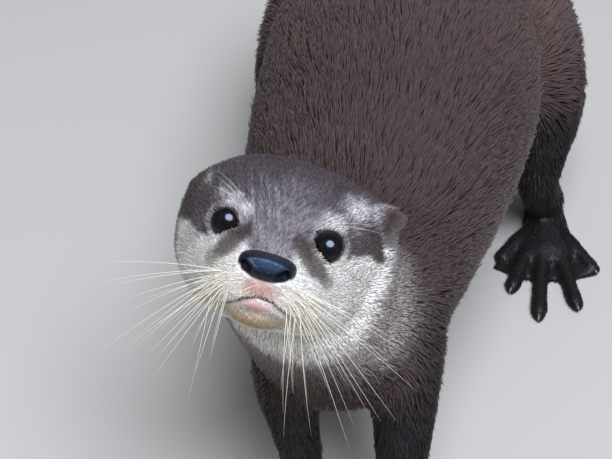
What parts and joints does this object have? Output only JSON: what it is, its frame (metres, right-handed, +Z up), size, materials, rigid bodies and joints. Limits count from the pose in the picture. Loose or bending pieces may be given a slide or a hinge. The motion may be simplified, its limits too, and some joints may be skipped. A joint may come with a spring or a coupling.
{
  "type": "otter",
  "caption": "Life-size small-clawed otter, standing with head raised and turned, pale cheeks and throat, dense brown coat, webbed feet and a thick tapered tail on the floor.",
  "frame": {"origin": "middle of the bounding box, at floor level under the belly", "axes": "+Z up, the nose towards -Y and the tail towards +Y, the otter's left at +X"},
  "size_m": [0.2334, 0.6582, 0.2178],
  "materials": {
    "brown_coat": "dense dark brown otter fur, satin where it is sleek",
    "dark_coat": "short, very dark brown, damp fur of the legs",
    "grey_coat": "short grey-brown fur frosted with silver",
    "pale_coat": "short cream-white fur of cheeks, chin and throat",
    "ear_coat": "thin dark fur over small round ears",
    "foot_skin": "bare, wet, purplish brown skin with webs",
    "nose_skin": "moist black pebbled nose pad",
    "wet_eye": "wet, almost black eye"
  },
  "bodies": {
    "root": {"trunk": "brown_coat", "neck": "grey_coat", "head": "grey_coat", "lower_jaw": "pale_coat", "nose": "nose_skin", "tail": "brown_coat", "eye_left": "wet_eye", "ear_left": "ear_coat", "upper_arm_left": "brown_coat", "forearm_left": "dark_coat", "forefoot_left": "foot_skin", "thigh_left": "brown_coat", "shank_left": "dark_coat", "hindfoot_left": "foot_skin", "eye_right": "wet_eye", "ear_right": "ear_coat", "upper_arm_right": "brown_coat", "forearm_right": "dark_coat", "forefoot_right": "foot_skin", "thigh_right": "brown_coat", "shank_right": "dark_coat", "hindfoot_right": "foot_skin"}
  },
  "joints": []
}
